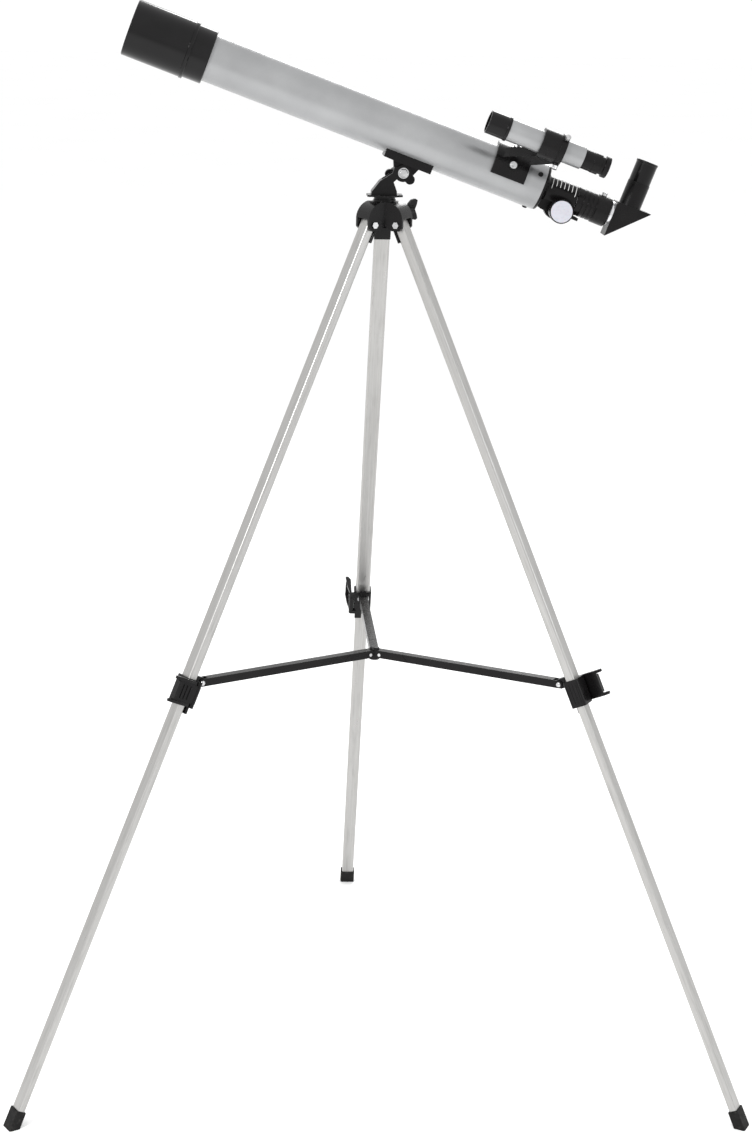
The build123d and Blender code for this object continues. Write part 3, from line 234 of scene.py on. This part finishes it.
def lens_glass():
    """Coated glass with a faint violet-blue cast and the least trace of dust."""
    glass = Surface("lens_glass", (0.93, 0.95, 1.0), 0.015)
    glass.set(Transmission_Weight=1.0, IOR=1.52, Coat_Weight=0.3, Coat_Tint=(0.55, 0.6, 1.0, 1.0))
    return glass.roughen(glass.noise(900, 4.0), 0.0, 0.04).material


def white_ink():
    ink = Surface("white_ink", (0.75, 0.75, 0.74), 0.5)
    return ink.tint(ink.noise(2500, 2.0), (0.6, 0.6, 0.59)).material


def studio_floor():
    floor = Surface("studio_floor", (0.95, 0.95, 0.95), 0.7)
    floor.tint(floor.noise(1.5, 3.0), (0.935, 0.935, 0.935))
    return floor.bump(floor.noise(180, 3.0), 0.05, 0.0003).material


finishes = {
    "silver_paint": silver_paint(),
    "black_plastic": black_plastic(),
    "black_satin": black_satin(),
    "black_paint": black_paint(),
    "bright_metal": bright_metal(),
    "bolt_steel": bolt_steel(),
    "white_cap": white_cap(),
    "foot_rubber": foot_rubber(),
    "lens_glass": lens_glass(),
}
leg_finishes = {number: drawn_aluminium(number) for number in LEGS}

for subpart in record["subparts"]:
    piece = frame["nodes"][subpart["node"]]
    if subpart["material_slot"] == "leg_aluminium":
        finish = leg_finishes[int(subpart["node"][-1])]
    else:
        finish = finishes[subpart["material_slot"]]
    for material_slot in piece.material_slots:
        material_slot.material = finish


# ---------------------------------------------------------------- small fitted details
def add_mesh(name, mesh, body, finish, smooth=True):
    piece = bpy.data.objects.new(name, mesh)
    bpy.context.scene.collection.objects.link(piece)
    piece.data.materials.append(finish)
    for polygon in mesh.polygons:
        polygon.use_smooth = smooth
    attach(piece, body)
    return piece


def turned_mesh(name, centre, axis, outline, segments=40):
    """A closed mesh turned about an axis from (radius, height) points, the first and last on it."""
    frame_matrix = Matrix.Translation(centre) @ axis.to_track_quat("Z", "Y").to_matrix().to_4x4()
    build = bmesh.new()
    rings = []
    for radius, height in outline:
        if radius == 0:
            rings.append([build.verts.new((0, 0, height))])
        else:
            angles = [2 * pi * step / segments for step in range(segments)]
            rings.append([build.verts.new((radius * cos(a), radius * sin(a), height)) for a in angles])
    for lower, upper in zip(rings, rings[1:]):
        for step in range(segments):
            corners = [lower[step % len(lower)], lower[(step + 1) % len(lower)],
                       upper[(step + 1) % len(upper)], upper[step % len(upper)]]
            build.faces.new(list(dict.fromkeys(corners)))
    build.transform(frame_matrix)
    bmesh.ops.recalc_face_normals(build, faces=build.faces)
    mesh = bpy.data.meshes.new(name)
    build.to_mesh(mesh)
    build.free()
    return mesh


def rivet_head(name, centre, axis, radius, body):
    """A low dome with a small flat land round it, as a tubular rivet is set."""
    sunk, land = 0.0001, 0.0002
    dome_width, dome_height, steps = 0.86, 0.32, 6
    outline = [(0, -sunk), (radius, -sunk), (radius, land)]
    for step in range(1, steps + 1):
        swing = step / steps * pi / 2
        outline.append((dome_width * radius * cos(swing), land + dome_height * radius * sin(swing)))
    outline[-1] = (0, outline[-1][1])
    mesh = turned_mesh(name, centre, axis, outline)
    add_mesh(name, mesh, body, finishes["bolt_steel"])


def add_arm_rivets():
    """Bright rivets on both sides of each spreader arm's outer pivot."""
    for number in LEGS:
        pivot = joints[f"arm_fold_{number}"]
        axis = Vector(pivot["axis"])
        for side, word in ((1, "left"), (-1, "right")):
            centre = Vector(pivot["pos_m"]) + axis * side * ARM_HALF_WIDTH
            name = f"arm_rivet_{number}_{word}"
            rivet_head(name, centre, axis * side, ARM_RIVET_RADIUS, f"spreader_arm_{number}")


def neck_point(along, angle, radius):
    """A point round the focuser's neck, at an angle from the top towards the near side."""
    return datum + rearward * along + (tube_up * cos(angle) + near * sin(angle)) * radius


def add_focus_scale():
    """Printed division lines on the focuser's neck, the first and the last one longer."""
    ink_top, ink_base = NECK_RADIUS + 0.00006, NECK_RADIUS - 0.0001
    start, spacing, last_line, half_line = 0.172, 0.0049, 6, 0.00034
    first_angle, long_reach, short_reach, steps = radians(22), radians(55), radians(40), 10
    build = bmesh.new()
    for line in range(last_line + 1):
        middle = start + spacing * line
        reach = long_reach if line in (0, last_line) else short_reach
        rows = []
        for step in range(steps + 1):
            angle = first_angle + reach * step / steps
            corners = [(middle - half_line, ink_base), (middle + half_line, ink_base),
                       (middle + half_line, ink_top), (middle - half_line, ink_top)]
            rows.append([build.verts.new(neck_point(along, angle, radius)) for along, radius in corners])
        for lower, upper in zip(rows, rows[1:]):
            for side in range(4):
                following = (side + 1) % 4
                build.faces.new((lower[side], lower[following], upper[following], upper[side]))
        build.faces.new(rows[0])
        build.faces.new(rows[-1])
    bmesh.ops.recalc_face_normals(build, faces=build.faces)
    mesh = bpy.data.meshes.new("focus_scale")
    build.to_mesh(mesh)
    build.free()
    add_mesh("focus_scale", mesh, "optical_tube", white_ink(), smooth=False)


add_arm_rivets()
add_focus_scale()


# ---------------------------------------------------------------- studio and camera
def add_floor():
    half = 40.0
    mesh = bpy.data.meshes.new("floor")
    corners = [(-half, -half, 0), (half, -half, 0), (half, half, 0), (-half, half, 0)]
    mesh.from_pydata(corners, [], [(0, 1, 2, 3)])
    floor = bpy.data.objects.new("floor", mesh)
    bpy.context.scene.collection.objects.link(floor)
    floor.data.materials.append(studio_floor())


def add_light(name, place, target, size, power, color=(1, 1, 1)):
    lamp = bpy.data.lights.new(name, "AREA")
    lamp.shape = "DISK"
    lamp.size = size
    lamp.energy = power
    lamp.color = color
    light = bpy.data.objects.new(name, lamp)
    light.location = place
    light.rotation_euler = (Vector(target) - Vector(place)).to_track_quat("-Z", "Y").to_euler()
    bpy.context.scene.collection.objects.link(light)


def add_world():
    world = bpy.data.worlds.new("studio")
    world.use_nodes = True
    background = world.node_tree.nodes["Background"]
    background.inputs["Color"].default_value = (1.0, 1.0, 1.0, 1.0)
    background.inputs["Strength"].default_value = 1.06
    bpy.context.scene.world = world


def set_response():
    """A plain display response, which keeps the floor white and the plastics deep black."""
    bpy.context.scene.view_settings.view_transform = "Standard"


def add_camera():
    """Eye-height view from a little left of the tripod, looking slightly down at it."""
    azimuth, pitch, roll = radians(1.530), radians(14.020), radians(-0.7105)
    forward = Vector((sin(azimuth) * cos(pitch), cos(azimuth) * cos(pitch), -sin(pitch)))
    level = Vector((cos(azimuth), -sin(azimuth), 0))
    down = forward.cross(level)
    right = level * cos(roll) + down * sin(roll)
    below = down * cos(roll) - level * sin(roll)
    lens = bpy.data.cameras.new("camera")
    lens.sensor_width = 36.0
    lens.lens = 71.25
    lens.shift_x = 0.0778
    lens.shift_y = -0.0231
    lens.clip_end = 200.0
    camera = bpy.data.objects.new("camera", lens)
    aside, distance, height = -0.18097, 2.67273, 1.32596
    tripod_y = joints["pan"]["pos_m"][1]
    place = Vector((aside, tripod_y - distance, height))
    axes = Matrix((right, -below, -forward)).transposed().to_4x4()
    camera.matrix_world = Matrix.Translation(place) @ axes
    bpy.context.scene.collection.objects.link(camera)
    bpy.context.scene.camera = camera


add_floor()
add_light("key", (-2.2, -2.6, 2.9), (0, 0, 0.8), 1.2, 95)
add_light("fill", (2.6, -1.8, 1.7), (0, 0, 0.8), 2.0, 18, (0.96, 0.98, 1.0))
add_light("rim", (0.8, 2.6, 2.5), (0, 0, 0.9), 1.4, 35)
add_world()
set_response()
add_camera()
